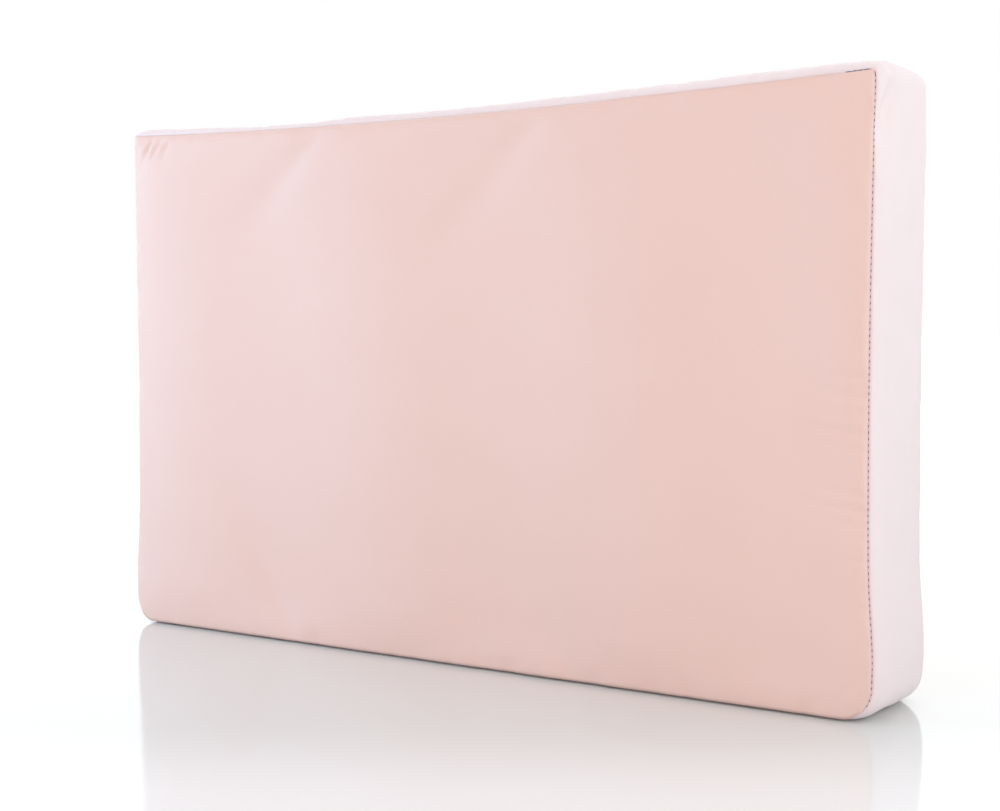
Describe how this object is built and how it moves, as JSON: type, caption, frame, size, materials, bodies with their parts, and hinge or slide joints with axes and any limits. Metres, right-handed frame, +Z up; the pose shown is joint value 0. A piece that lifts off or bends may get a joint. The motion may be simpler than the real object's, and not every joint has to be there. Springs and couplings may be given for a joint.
{
  "type": "boxed foam mat",
  "caption": "Rectangular boxed foam mat in a removable fabric cover, standing on a long edge, with a sliding, hinged zip pull on its far end.",
  "frame": {"origin": "middle of the long bottom edge strip that the mat stands on", "axes": "+X along the length towards the plain end, -Y out of the front face, +Z up"},
  "size_m": [0.97, 0.127, 0.61],
  "materials": {
    "cover_fabric": "fine satin weave, pale peach pink",
    "edge_fabric": "fine satin weave, pale pink",
    "seam_thread": "twisted slate blue thread",
    "cover_thread": "twisted pink thread",
    "zip_tape": "woven tape",
    "zip_teeth": "moulded",
    "zip_metal": "satin nickel",
    "firm_foam": "open cell foam",
    "soft_foam": "fine open cell foam",
    "liner_fabric": "thin knitted sleeve",
    "label_fabric": "blank satin tape"
  },
  "bodies": {
    "mat": {"foam_core": "firm_foam", "foam_comfort_layer": "soft_foam", "inner_liner": "liner_fabric", "front_panel": "cover_fabric", "back_panel": "cover_fabric", "boxing_band": "edge_fabric", "front_seam_thread": "seam_thread", "back_seam_thread": "seam_thread", "zip_strip_front": "edge_fabric", "zip_strip_back": "edge_fabric", "zip_tape_front": "zip_tape", "zip_tape_back": "zip_tape", "zip_teeth_front": "zip_teeth", "zip_teeth_back": "zip_teeth", "zip_end_patch_bottom": "edge_fabric", "zip_end_patch_top": "edge_fabric", "zip_closing_stops": "zip_teeth", "zip_opening_stop": "zip_teeth", "zip_stitch_front": "cover_thread", "zip_stitch_back": "cover_thread", "band_join_stitch": "cover_thread", "care_label": "label_fabric"},
    "slider": {"zip_slider": "zip_metal"},
    "pull": {"zip_pull_tab": "zip_metal"}
  },
  "joints": [
    {"name": "zip_slide", "type": "slide", "parent": "mat", "child": "slider", "axis": [0, 0, 1], "range_m": [0, 0.498], "deforming": ["zip_teeth_front", "zip_teeth_back"]},
    {"name": "pull_hinge", "type": "hinge", "parent": "slider", "child": "pull", "pos_m": [-0.48515, 0, 0.0568], "axis": [0, 1, 0], "range_deg": [0, 170]}
  ]
}
